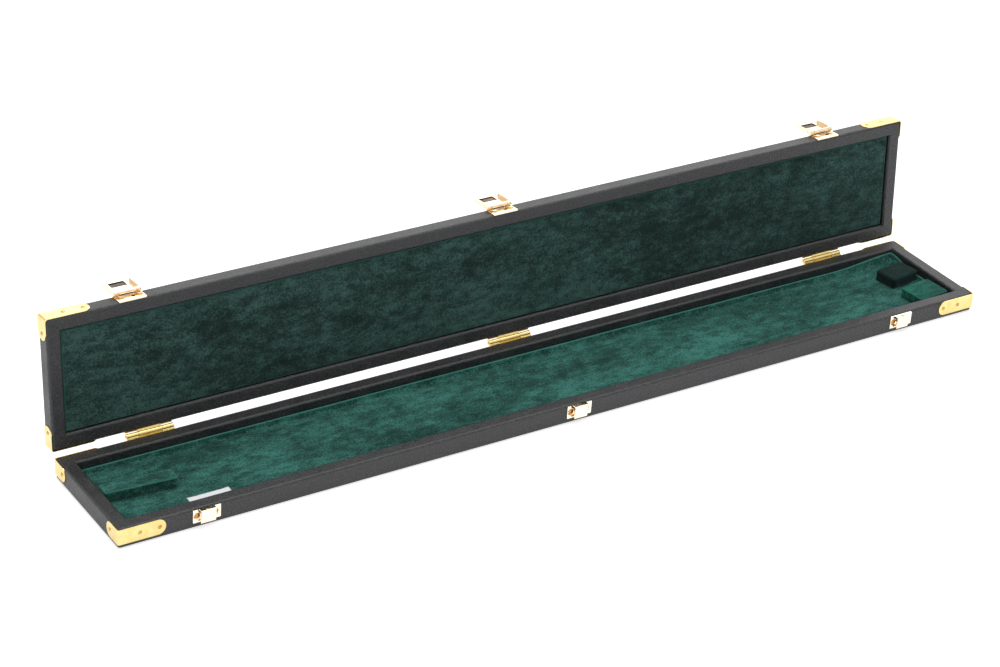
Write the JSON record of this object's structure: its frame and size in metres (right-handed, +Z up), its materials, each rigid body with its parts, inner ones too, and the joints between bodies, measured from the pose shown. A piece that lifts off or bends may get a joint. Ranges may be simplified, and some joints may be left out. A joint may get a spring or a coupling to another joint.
{
  "type": "cello bow case",
  "caption": "Slim hinged case for a cello bow, lid standing open, with a velvet lining, brass corners and folding latches.",
  "frame": {"origin": "the middle of the base's underside, on the surface it rests on", "axes": "+X along the case to its right end as seen from the latches, +Y from the latches to the hinges, +Z up"},
  "size_m": [0.793, 0.1559, 0.1285],
  "materials": {
    "leatherette": "fine grained black leatherette, semi-matt",
    "board": "plain plywood and softwood, hidden",
    "foam": "soft open foam, hidden",
    "velvet": "dark green velvet with a soft nap",
    "yellow_brass": "polished yellow brass",
    "pale_gold": "polished pale gold plating",
    "spring_steel": "bare spring steel",
    "paper": "matt white paper"
  },
  "bodies": {
    "base": {"base_panel": "board", "base_outer_cover": "leatherette", "base_front_rail": "board", "base_rear_rail": "board", "base_left_rail": "board", "base_right_rail": "board", "base_front_wrap": "leatherette", "base_rear_wrap": "leatherette", "base_left_wrap": "leatherette", "base_right_wrap": "leatherette", "base_foam": "foam", "base_velvet": "velvet", "base_front_left_corner": "yellow_brass", "base_rear_left_corner": "yellow_brass", "base_front_right_corner": "yellow_brass", "base_rear_right_corner": "yellow_brass", "base_corner_nails": "yellow_brass", "base_hinge_screws": "yellow_brass", "base_left_hinge_leaf": "yellow_brass", "base_middle_hinge_leaf": "yellow_brass", "base_right_hinge_leaf": "yellow_brass", "left_catch": "pale_gold", "middle_catch": "pale_gold", "right_catch": "pale_gold", "catch_screws": "pale_gold", "hinge_pins": "yellow_brass", "left_block": "velvet", "right_front_block": "velvet", "right_rear_block": "velvet", "blank_label": "paper"},
    "lid": {"lid_panel": "board", "lid_outer_cover": "leatherette", "lid_front_rail": "board", "lid_rear_rail": "board", "lid_left_rail": "board", "lid_right_rail": "board", "lid_front_wrap": "leatherette", "lid_rear_wrap": "leatherette", "lid_left_wrap": "leatherette", "lid_right_wrap": "leatherette", "lid_foam": "foam", "lid_velvet": "velvet", "lid_front_left_corner": "yellow_brass", "lid_rear_left_corner": "yellow_brass", "lid_front_right_corner": "yellow_brass", "lid_rear_right_corner": "yellow_brass", "lid_corner_nails": "yellow_brass", "lid_hinge_screws": "yellow_brass", "lid_left_hinge_leaf": "yellow_brass", "lid_middle_hinge_leaf": "yellow_brass", "lid_right_hinge_leaf": "yellow_brass", "left_latch_plate": "pale_gold", "middle_latch_plate": "pale_gold", "right_latch_plate": "pale_gold", "latch_screws": "pale_gold", "latch_pins": "pale_gold", "latch_springs": "spring_steel"},
    "left_flap": {"left_latch_flap": "pale_gold"},
    "middle_flap": {"middle_latch_flap": "pale_gold"},
    "right_flap": {"right_latch_flap": "pale_gold"}
  },
  "joints": [
    {"name": "lid_hinge", "type": "hinge", "parent": "base", "child": "lid", "pos_m": [0, 0.05605, 0.0164], "axis": [1, 0, 0], "range_deg": [0, 95]},
    {"name": "left_latch_hinge", "type": "hinge", "parent": "lid", "child": "left_flap", "pos_m": [-0.3258, 0.07695, 0.1268], "axis": [1, 0, 0], "range_deg": [0, 180]},
    {"name": "middle_latch_hinge", "type": "hinge", "parent": "lid", "child": "middle_flap", "pos_m": [-0.0048, 0.07695, 0.1268], "axis": [1, 0, 0], "range_deg": [0, 180]},
    {"name": "right_latch_hinge", "type": "hinge", "parent": "lid", "child": "right_flap", "pos_m": [0.3162, 0.07695, 0.1268], "axis": [1, 0, 0], "range_deg": [0, 180]}
  ]
}
